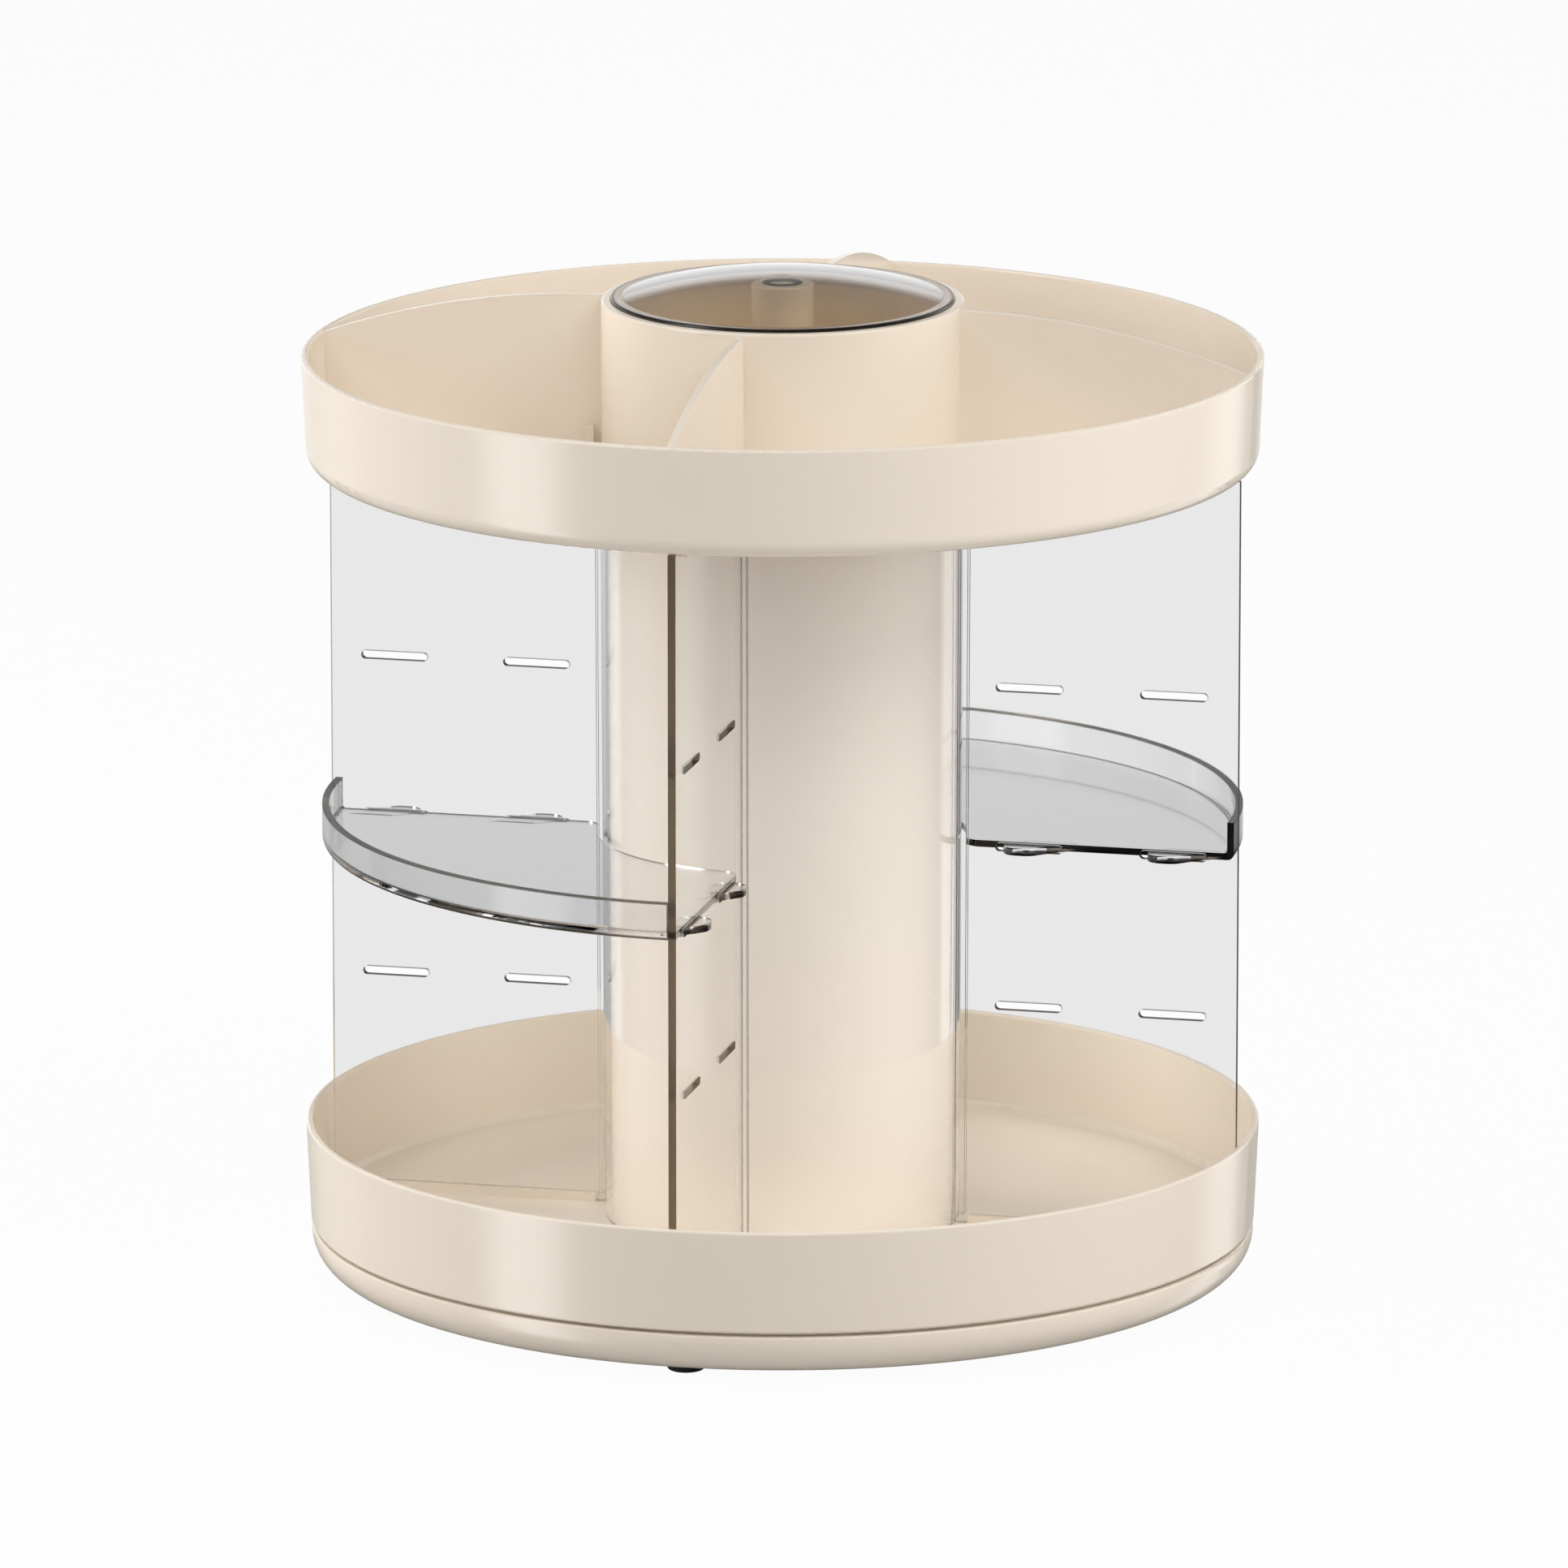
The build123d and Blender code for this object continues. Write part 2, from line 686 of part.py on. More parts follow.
# Lid: clear dome with a flat rim on the ledge and a skirt inside it
with BuildPart() as lid:
    lid_radius = lid_seat - lid_gap
    skirt_radius = ledge_radius - skirt_gap
    dome_radius = skirt_radius - skirt_wall
    z_rim_top = z_collar + lid_proud
    z_rim_under = z_collar - lid_rim
    with BuildSketch(Plane.XZ):
        with BuildLine():
            outside = TangentArc((0, z_lid_top), (dome_radius, z_rim_top), tangent=(1, 0))
            inside = TangentArc((0, z_lid_top - lid_wall), (dome_radius, z_rim_under), tangent=(1, 0))
            Polyline(
                outside @ 1,
                (lid_radius, z_rim_top),
                (lid_radius, z_rim_under),
                (skirt_radius, z_rim_under),
                (skirt_radius, z_rim_under - skirt_depth),
                (dome_radius, z_rim_under - skirt_depth),
                inside @ 1,
            )
            Line(inside @ 0, outside @ 0)
        make_face()
        round_corner(lid_edge_round, (lid_radius, z_rim_top))
    revolve(axis=Axis.Z)
finish(lid, "lid")
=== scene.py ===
"""Finishes, small moulded details, camera and studio of the rotating makeup organizer."""
import logging
import math
from dataclasses import dataclass, field
from enum import Enum
from typing import Any, Mapping, Optional, Sequence, Union

import bmesh
import bpy
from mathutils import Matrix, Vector


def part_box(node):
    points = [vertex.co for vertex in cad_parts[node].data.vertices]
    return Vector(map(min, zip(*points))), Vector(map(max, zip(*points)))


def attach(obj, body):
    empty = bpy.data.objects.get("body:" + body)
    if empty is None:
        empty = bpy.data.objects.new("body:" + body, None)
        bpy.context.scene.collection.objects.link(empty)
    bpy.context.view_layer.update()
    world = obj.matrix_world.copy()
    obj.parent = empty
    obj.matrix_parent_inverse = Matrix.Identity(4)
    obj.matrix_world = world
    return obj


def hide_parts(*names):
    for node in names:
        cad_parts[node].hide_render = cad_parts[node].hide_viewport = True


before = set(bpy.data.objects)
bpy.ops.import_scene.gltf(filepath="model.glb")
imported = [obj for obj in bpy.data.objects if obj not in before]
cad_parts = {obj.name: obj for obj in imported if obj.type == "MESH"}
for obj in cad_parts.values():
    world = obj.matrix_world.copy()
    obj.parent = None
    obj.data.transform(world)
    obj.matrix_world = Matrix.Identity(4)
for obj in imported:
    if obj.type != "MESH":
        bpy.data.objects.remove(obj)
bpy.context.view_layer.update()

LOG = logging.getLogger("organizer")
SHARP_ANGLE = math.radians(35.0)
RIGHT_ANGLE = 90.0
AXES = 3
NOISE_MIDDLE = 0.5
MIX_FIRST_COLOUR = 6
MIX_SECOND_COLOUR = 7
MIX_COLOUR = 2
Colour = tuple[float, float, float]
Span = tuple[float, float]
Number = Union[float, "Term"]
WHITE: Colour = (1.0, 1.0, 1.0)


class Term:
    """A number that changes over a surface, written as a Python expression."""

    def __init__(self, sheet: "NodeSheet", socket: bpy.types.NodeSocket) -> None:
        """Wrap a socket.

        Args:
            sheet: Node tree that the socket belongs to.
            socket: Output socket that carries the number.
        """
        self.sheet = sheet
        self.socket = socket

    def _math(self, operation: str, first: Number, second: Number) -> "Term":
        """Add one Math node.

        Args:
            operation: Name of the Math node's operation.
            first: First operand.
            second: Second operand.

        Returns:
            The node's result.
        """
        node = self.sheet.add("ShaderNodeMath", {"operation": operation}, {0: first, 1: second})
        return Term(self.sheet, node.outputs[0])

    def __add__(self, other: Number) -> "Term":
        """Sum of two numbers."""
        return self._math("ADD", self, other)

    __radd__ = __add__

    def __sub__(self, other: Number) -> "Term":
        """Difference of two numbers."""
        return self._math("SUBTRACT", self, other)

    def __rsub__(self, other: Number) -> "Term":
        """Difference, with this number taken away."""
        return self._math("SUBTRACT", other, self)

    def __mul__(self, other: Number) -> "Term":
        """Product of two numbers."""
        return self._math("MULTIPLY", self, other)

    __rmul__ = __mul__

    def __or__(self, other: "Term") -> "Term":
        """Larger of two masks."""
        return self._math("MAXIMUM", self, other)

    def __abs__(self) -> "Term":
        """Size without its sign."""
        return self._math("ABSOLUTE", self, 0.0)

    def turn(self, along: "Term") -> "Term":
        """Angle of a direction in radians.

        Args:
            along: The direction's part along the first axis; this number is its part across it.

        Returns:
            The angle, from minus pi to pi.
        """
        return self._math("ARCTAN2", self, along)

    def root(self) -> "Term":
        """Square root."""
        return self._math("SQRT", self, 0.0)

    def rising(self, low: float, high: float) -> "Term":
        """Mask that rises smoothly from 0 at low to 1 at high.

        Args:
            low: Value at which the mask starts.
            high: Value at which the mask is full.

        Returns:
            The mask.
        """
        node = self.sheet.add(
            "ShaderNodeMapRange",
            {"interpolation_type": "SMOOTHSTEP"},
            {"Value": self, "From Min": low, "From Max": high},
        )
        return Term(self.sheet, node.outputs[0])


class NodeSheet:
    """One node tree, with the single method that adds nodes to it."""

    def __init__(self, tree: bpy.types.NodeTree) -> None:
        """Empty a node tree.

        Args:
            tree: Node tree of a material or a world.
        """
        self.tree = tree
        tree.nodes.clear()

    def add(
        self,
        kind: str,
        settings: Optional[Mapping[str, Any]] = None,
        values: Optional[Mapping[Union[str, int], Any]] = None,
    ) -> bpy.types.Node:
        """Add a node, set it up, then fill or link its sockets.

        Args:
            kind: Blender's name of the node's type.
            settings: The node's own properties, set first.
            values: Socket name or number to a number, colour, Term or output socket.

        Returns:
            The new node.
        """
        node = self.tree.nodes.new(kind)
        for name, value in (settings or {}).items():
            setattr(node, name, value)
        for key, value in (values or {}).items():
            target = node.inputs[key]
            if isinstance(value, Term):
                self.tree.links.new(value.socket, target)
            elif isinstance(value, bpy.types.NodeSocket):
                self.tree.links.new(value, target)
            else:
                target.default_value = value
        return node

    def term(self, node: bpy.types.Node, output: Union[str, int]) -> Term:
        """One output of a node as a number."""
        return Term(self, node.outputs[output])

    def parts(self, vector: bpy.types.NodeSocket) -> tuple[Term, Term, Term]:
        """Split a vector.

        Args:
            vector: Output socket that carries the vector.

        Returns:
            Its three parts as numbers.
        """
        node = self.add("ShaderNodeSeparateXYZ", None, {0: vector})
        return tuple(self.term(node, axis) for axis in range(AXES))

    def place(self) -> bpy.types.NodeSocket:
        """Position on the piece, in its own frame."""
        return self.add("ShaderNodeTexCoord").outputs["Object"]

    def facing(self) -> tuple[Term, Term, Term]:
        """Direction that the surface faces, in the piece's own frame."""
        return self.parts(self.add("ShaderNodeTexCoord").outputs["Normal"])

    def noise(self, where: bpy.types.NodeSocket, scale: float, detail: float) -> Term:
        """Noise of a given pitch.

        Args:
            where: Vector socket with the position.
            scale: Cells to the metre.
            detail: Octaves of finer noise.

        Returns:
            A number around one half.
        """
        node = self.add("ShaderNodeTexNoise", None, {"Vector": where, "Scale": scale, "Detail": detail})
        return self.term(node, 0)

    def blend(self, share: Term, first: Any, second: Any) -> bpy.types.NodeSocket:
        """Mix two colours.

        Args:
            share: Share of the second colour.
            first: Colour or colour socket at share 0.
            second: Colour or colour socket at share 1.

        Returns:
            The mixed colour.
        """
        node = self.add(
            "ShaderNodeMix",
            {"data_type": "RGBA"},
            {"Factor": share, MIX_FIRST_COLOUR: solid(first), MIX_SECOND_COLOUR: solid(second)},
        )
        return node.outputs[MIX_COLOUR]

    def bump(self, height: Term, depth: float, strength: float) -> bpy.types.NodeSocket:
        """Normal of a surface with fine relief.

        Args:
            height: Relief, from 0 to 1.
            depth: Height of the relief in metres.
            strength: How much of it is used.

        Returns:
            The normal.
        """
        node = self.add("ShaderNodeBump", None, {"Height": height, "Distance": depth, "Strength": strength})
        return node.outputs[0]


def solid(colour: Any) -> Any:
    """A plain colour with full opacity; anything else as it is."""
    return (*colour, 1.0) if isinstance(colour, tuple) else colour


def new_material(name: str) -> tuple[bpy.types.Material, NodeSheet]:
    """Start an empty node material.

    Args:
        name: Name of the finish.

    Returns:
        The material and its node sheet.
    """
    material = bpy.data.materials.new(name)
    material.use_nodes = True
    return material, NodeSheet(material.node_tree)


@dataclass(frozen=True)
class MouldedPlastic:
    """Opaque injection-moulded plastic with a fine satin grain."""

    name: str
    colour: Colour
    shade: Colour
    roughness: float
    grain_depth: float
    cloud_scale: float = 16.0
    cloud_detail: float = 3.0
    cloud_share: float = 0.35
    streaks_per_cloud: float = 9.0
    grain_scale: float = 1700.0
    grain_detail: float = 2.0
    grain_strength: float = 0.08
    roughness_spread: float = 0.07
    refraction: float = 1.5

    def dress(self) -> bpy.types.Material:
        """Make the material.

        Returns:
            Cloudy colour, uneven roughness and a fine grain.
        """
        material, sheet = new_material(self.name)
        where = sheet.place()
        cloud = sheet.noise(where, self.cloud_scale, self.cloud_detail)
        grain = sheet.noise(where, self.grain_scale, self.grain_detail)
        streak = sheet.noise(where, self.cloud_scale * self.streaks_per_cloud, self.grain_detail)
        bsdf = sheet.add(
            "ShaderNodeBsdfPrincipled",
            None,
            {
                "Base Color": sheet.blend(cloud * self.cloud_share, self.colour, self.shade),
                "Roughness": (streak - NOISE_MIDDLE) * self.roughness_spread + self.roughness,
                "IOR": self.refraction,
                "Normal": sheet.bump(grain, self.grain_depth, self.grain_strength),
            },
        )
        sheet.add("ShaderNodeOutputMaterial", None, {"Surface": bsdf.outputs[0]})
        return material


class ClearForm(Enum):
    """Shapes of the clear pieces, which differ in where their cut edges lie."""

    PANEL_ALONG_X = "panel along x"
    PANEL_ALONG_Y = "panel along y"
    SHELF = "shelf"
    SLEEVE = "sleeve"
    LID = "lid"


@dataclass(frozen=True)
class EdgeSpans:
    """Spans over which a clear piece's faces turn into its edges.

    The first is a share of a face's direction. The others are lengths from the piece's box or from the
    turning axis.
    """

    straight: Span = (0.6, 0.9)
    below_rim: Span = (0.0006, 0.0003)
    beside_axis: Span = (0.00190, 0.00205)
    inside_wall: Span = (0.0012, 0.0008)
    above_foot: Span = (0.0014, 0.0018)
    inside_lid: Span = (0.0011, 0.0008)


@dataclass(frozen=True)
class ClearPlastic:
    """Clear moulded plastic with a faint tint, and painted shade where its edges are seen: a dark tint there
    stands in for the darkness that light bent inside the edges shows.
    """

    name: str
    form: ClearForm
    tint: Colour
    edge_shade_tint: Colour
    roughness: float = 0.02
    roughness_spread: float = 0.02
    edge_roughness: float = 0.25
    wave_scale: float = 55.0
    wave_detail: float = 1.0
    wave_depth: float = 0.00002
    wave_strength: float = 0.4
    hazes_per_wave: float = 4.0
    haze_detail: float = 3.0
    refraction: float = 1.49
    spans: EdgeSpans = EdgeSpans()
    lamp_tint: Colour = (0.985, 0.985, 0.985)
    level_shade_tint: Optional[Colour] = None
    gloss_tint: Colour = (0.2, 0.2, 0.2)
    coat: float = 0.0
    coat_roughness: float = 0.3

    def edge(self, sheet: NodeSheet) -> Term:
        """Mask of the edges.

        Args:
            sheet: Node sheet of the material.

        Returns:
            1 on the edges of the piece, 0 on its broad faces.
        """
        across_x, across_y, up = sheet.facing()
        if self.form is ClearForm.PANEL_ALONG_X:
            return 1 - abs(across_y).rising(*self.spans.straight)
        if self.form is ClearForm.PANEL_ALONG_Y:
            return 1 - abs(across_x).rising(*self.spans.straight)
        if self.form is ClearForm.SLEEVE:
            return abs(up).rising(*self.spans.straight)
        x, y, z = sheet.parts(sheet.place())
        radius = (x * x + y * y).root()
        if self.form is ClearForm.LID:
            _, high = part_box("lid")
            return radius.rising(*(high.x - inset for inset in self.spans.inside_lid))
        low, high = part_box("shelf_back_right")
        rim = z.rising(*(high.z - drop for drop in self.spans.below_rim))
        side = 1 - abs(x).rising(*self.spans.beside_axis)
        other_side = 1 - abs(y).rising(*self.spans.beside_axis)
        outside = radius.rising(*(high.x - inset for inset in self.spans.inside_wall))
        foot = outside * (1 - z.rising(*(low.z + rise for rise in self.spans.above_foot)))
        return rim | side | other_side | foot

    def face_tint(self, sheet: NodeSheet) -> Any:
        """Tint of the broad faces.

        Args:
            sheet: Node sheet of the material.

        Returns:
            One colour, or a colour socket where level faces take a darker tint of painted shade.
        """
        if self.level_shade_tint is None:
            return self.tint
        _, _, up = sheet.facing()
        return sheet.blend(abs(up).rising(*self.spans.straight), self.tint, self.level_shade_tint)

    def dress(self) -> bpy.types.Material:
        """Make the material.

        Returns:
            Refracting plastic that lets the lamps' light through.
        """
        material, sheet = new_material(self.name)
        where = sheet.place()
        wave = sheet.noise(where, self.wave_scale, self.wave_detail)
        haze = sheet.noise(where, self.wave_scale * self.hazes_per_wave, self.haze_detail)
        edge = self.edge(sheet)
        clear = sheet.add(
            "ShaderNodeBsdfPrincipled",
            None,
            {
                # Painted shade: the edges take a dark tint that stands in for the darkness light bent inside
                # them shows.
                "Base Color": sheet.blend(edge, self.face_tint(sheet), self.edge_shade_tint),
                "Roughness": haze * self.roughness_spread + edge * self.edge_roughness + self.roughness,
                "IOR": self.refraction,
                "Transmission Weight": 1.0,
                "Specular Tint": solid(self.gloss_tint),
                "Coat Weight": self.coat,
                "Coat Roughness": self.coat_roughness,
                "Normal": sheet.bump(wave, self.wave_depth, self.wave_strength),
            },
        )
        through = sheet.add("ShaderNodeBsdfTransparent", None, {"Color": solid(self.lamp_tint)})
        path = sheet.add("ShaderNodeLightPath")
        lamp = sheet.term(path, "Is Shadow Ray") | sheet.term(path, "Is Diffuse Ray")
        mixed = sheet.add(
            "ShaderNodeMixShader",
            None,
            {0: lamp, 1: clear.outputs[0], 2: through.outputs[0]},
        )
        sheet.add("ShaderNodeOutputMaterial", None, {"Surface": mixed.outputs[0]})
        return material


@dataclass(frozen=True)
class Rubber:
    """Dark soft rubber with a dusty bloom."""

    name: str = "foot_rubber"
    colour: Colour = (0.022, 0.020, 0.018)
    bloom: Colour = (0.07, 0.066, 0.06)
    bloom_scale: float = 400.0
    bloom_detail: float = 4.0
    bloom_span: Span = (0.4, 0.8)
    roughness: float = 0.75
    roughness_spread: float = 0.2
    grain_scale: float = 2400.0
    grain_detail: float = 2.0
    grain_depth: float = 0.00005
    grain_strength: float = 0.5

    def dress(self) -> bpy.types.Material:
        """Make the material.

        Returns:
            Matt rubber with uneven bloom and a coarse grain.
        """
        material, sheet = new_material(self.name)
        where = sheet.place()
        bloom = sheet.noise(where, self.bloom_scale, self.bloom_detail)
        grain = sheet.noise(where, self.grain_scale, self.grain_detail)
        bsdf = sheet.add(
            "ShaderNodeBsdfPrincipled",
            None,
            {
                "Base Color": sheet.blend(bloom.rising(*self.bloom_span), self.colour, self.bloom),
                "Roughness": bloom * self.roughness_spread + self.roughness,
                "Normal": sheet.bump(grain, self.grain_depth, self.grain_strength),
            },
        )
        sheet.add("ShaderNodeOutputMaterial", None, {"Surface": bsdf.outputs[0]})
        return material


@dataclass(frozen=True)
class BrightSteel:
    """Bright plated steel with fine turning marks."""

    name: str = "bright_steel"
    colour: Colour = (0.62, 0.62, 0.63)
    shade: Colour = (0.45, 0.45, 0.47)
    cloud_scale: float = 300.0
    cloud_detail: float = 3.0
    roughness: float = 0.22
    roughness_spread: float = 0.15
    scratch_scale: float = 5000.0
    scratch_detail: float = 2.0
    scratch_depth: float = 0.00001
    scratch_strength: float = 0.3

    def dress(self) -> bpy.types.Material:
        """Make the material.

        Returns:
            Metal with cloudy plating and fine scratches.
        """
        material, sheet = new_material(self.name)
        where = sheet.place()
        cloud = sheet.noise(where, self.cloud_scale, self.cloud_detail)
        scratch = sheet.noise(where, self.scratch_scale, self.scratch_detail)
        bsdf = sheet.add(
            "ShaderNodeBsdfPrincipled",
            None,
            {
                "Base Color": sheet.blend(cloud, self.colour, self.shade),
                "Metallic": 1.0,
                "Roughness": cloud * self.roughness_spread + self.roughness,
                "Normal": sheet.bump(scratch, self.scratch_depth, self.scratch_strength),
            },
        )
        sheet.add("ShaderNodeOutputMaterial", None, {"Surface": bsdf.outputs[0]})
        return material


CREAM = MouldedPlastic(
    name="cream_plastic",
    colour=(0.87, 0.78, 0.666),
    shade=(0.835, 0.738, 0.617),
    roughness=0.20,
    grain_depth=0.00002,
)
# Painted light: a lighter copy of the cream plastic for the column and the post, which lie in shade under
# the trays and the lid, so that they look brighter.
LIT_CREAM = MouldedPlastic(
    name="lit_cream_plastic",
    colour=(0.95, 0.875, 0.775),
    shade=(0.925, 0.84, 0.73),
    roughness=0.36,
    grain_depth=0.00001,
    grain_strength=0.03,
    roughness_spread=0.02,
)
ACETAL = MouldedPlastic(
    name="bearing_plastic",
    colour=(0.84, 0.84, 0.82),
    shade=(0.78, 0.78, 0.75),
    roughness=0.45,
    grain_depth=0.00003,
)
PANEL_TINT: Colour = (0.96, 0.96, 0.96)
# Painted shade: dark tints for the cut edges of the clear pieces, standing in for the darkness that light
# bent inside the edges shows.
EDGE_SHADE_TINT: Colour = (0.09, 0.07, 0.052)
PANEL_EDGE_SHADE_TINT: Colour = (0.25, 0.20, 0.15)
CLEAR_PANEL_X = ClearPlastic("clear_panel_x", ClearForm.PANEL_ALONG_X, PANEL_TINT, PANEL_EDGE_SHADE_TINT)
CLEAR_PANEL_Y = ClearPlastic("clear_panel_y", ClearForm.PANEL_ALONG_Y, PANEL_TINT, PANEL_EDGE_SHADE_TINT)
CLEAR_SHELF = ClearPlastic(
    name="clear_shelf",
    form=ClearForm.SHELF,
    tint=(0.95, 0.95, 0.955),
    edge_shade_tint=EDGE_SHADE_TINT,
    # Painted shade: the shelf's level faces take a greyer tint than its upright faces.
    level_shade_tint=(0.86, 0.86, 0.865),
)
CLEAR_SLEEVE = ClearPlastic(
    name="clear_sleeve",
    form=ClearForm.SLEEVE,
    tint=(0.995, 0.995, 0.995),
    edge_shade_tint=EDGE_SHADE_TINT,
    lamp_tint=(0.998, 0.998, 0.998),
)
CLEAR_LID = ClearPlastic(
    name="clear_lid",
    form=ClearForm.LID,
    tint=(0.90, 0.87, 0.83),
    # Painted shade: a near-black tint on the lid's outer rim, standing in for the dark line that light bent
    # inside the rim shows.
    edge_shade_tint=(0.03, 0.022, 0.016),
    lamp_tint=(0.85, 0.785, 0.695),
    coat=1.0,
)


def around(centre: Vector, radius: float, turn: float, height: float) -> Vector:
    """One point round an upright axis.

    Args:
        centre: Foot of the axis.
        radius: Distance from the axis.
        turn: Angle round the axis.
        height: Height above the foot.

    Returns:
        The point.
    """
    return centre + Vector((radius * math.cos(turn), radius * math.sin(turn), height))


def circle(centre: Vector, radius: float, height: float, steps: int) -> list[Vector]:
    """Points of a level circle.

    Args:
        centre: Foot of the upright axis.
        radius: Radius of the circle.
        height: Height above the foot.
        steps: Number of points.

    Returns:
        The points, in order.
    """
    return [around(centre, radius, math.tau * step / steps, height) for step in range(steps)]


def skin(name: str, rings: Sequence[Sequence[Vector]], hollow: bool = False) -> bpy.types.Mesh:
    """Skin a stack of rings that have equally many points.

    Args:
        name: Name of the mesh.
        rings: Rings of points, in order.
        hollow: True if the last ring joins the first, False if both ends are closed.

    Returns:
        A closed mesh with smooth faces and sharp edges.
    """
    form = bmesh.new()
    loops = [[form.verts.new(point) for point in ring] for ring in rings]
    following = loops[1:] + (loops[:1] if hollow else [])
    for lower, upper in zip(loops, following):
        for index, corner in enumerate(lower):
            after = (index + 1) % len(lower)
            form.faces.new((corner, lower[after], upper[after], upper[index]))
    if not hollow:
        form.faces.new(loops[0][::-1])
        form.faces.new(loops[-1])
    bmesh.ops.recalc_face_normals(form, faces=form.faces)
    mesh = bpy.data.meshes.new(name)
    form.to_mesh(mesh)
    form.free()
    mesh.shade_smooth()
    mesh.set_sharp_from_angle(angle=SHARP_ANGLE)
    return mesh


def add_piece(
    mesh: bpy.types.Mesh, body: str, material: bpy.types.Material, node: Optional[str] = None
) -> None:
    """Add a modelled piece that moves with a body.

    Args:
        mesh: Its mesh, whose name the piece takes.
        body: Body that it rides on.
        material: Its finish.
        node: Solid that it stands for, if any.
    """
    piece = bpy.data.objects.new(mesh.name, mesh)
    bpy.context.scene.collection.objects.link(piece)
    mesh.materials.append(material)
    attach(piece, body)
    if node:
        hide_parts(node)
    LOG.info("%s: %s", mesh.name, material.name)


def paint(node: str, material: bpy.types.Material) -> None:
    """Give a solid its finish and report it.

    Args:
        node: Name of the solid.
        material: Its finish.
    """
    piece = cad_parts[node]
    piece.data.materials.clear()
    piece.data.materials.append(material)
    LOG.info("%s: %s", node, material.name)


@dataclass
class RubberFeet:
    """Four round rubber feet with ring treads underneath."""

    nodes: Sequence[str] = ("foot_front", "foot_right", "foot_back", "foot_left")
    body: str = "base"
    edge_round: float = 0.0010
    round_steps: int = 5
    tread_first: float = 0.0010
    tread_pitch: float = 0.0012
    tread_count: int = 3
    tread_width: float = 0.0006
    tread_slope: float = 0.0001
    tread_depth: float = 0.0004
    steps: int = 72

    def outline(self, radius: float, height: float) -> list[tuple[float, float]]:
        """Profile of a foot.

        Args:
            radius: Radius of the foot.
            height: Height of the foot.

        Returns:
            Radii and heights, from the middle of the underside to the top.
        """
        points = [(self.tread_first / 2, 0.0)]
        for ring in range(self.tread_count):
            inner = self.tread_first + ring * self.tread_pitch
            outer = inner + self.tread_width
            points += [
                (inner, 0.0),
                (inner + self.tread_slope, self.tread_depth),
                (outer - self.tread_slope, self.tread_depth),
                (outer, 0.0),
            ]
        for step in range(self.round_steps + 1):
            turn = math.pi / 2 * step / self.round_steps
            points.append(
                (
                    radius - self.edge_round * (1 - math.sin(turn)),
                    self.edge_round * (1 - math.cos(turn)),
                )
            )
        return points + [(radius, height)]

    def build(self, rubber: bpy.types.Material) -> None:
        """Model the feet.

        Args:
            rubber: Their finish.
        """
        for node in self.nodes:
            low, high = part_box(node)
            middle = Vector(((low.x + high.x) / 2, (low.y + high.y) / 2, low.z))
            outline = self.outline((high.x - low.x) / 2, high.z - low.z)
            rings = [circle(middle, radius, height, self.steps) for radius, height in outline]
            add_piece(skin(f"{node}_tread", rings), self.body, rubber, node)


@dataclass
class TurntableBase:
    """Fixed round base with its feet and the pivot's liner."""

    shell: str = "base_shell"
    bush: str = "pivot_bush"
    feet: RubberFeet = field(default_factory=RubberFeet)

    def build(
        self, cream: bpy.types.Material, acetal: bpy.types.Material, rubber: bpy.types.Material
    ) -> None:
        """Dress the base and model its feet.

        Args:
            cream: Finish of the mouldings.
            acetal: Finish of the bush.
            rubber: Finish of the feet.
        """
        paint(self.shell, cream)
        paint(self.bush, acetal)
        self.feet.build(rubber)


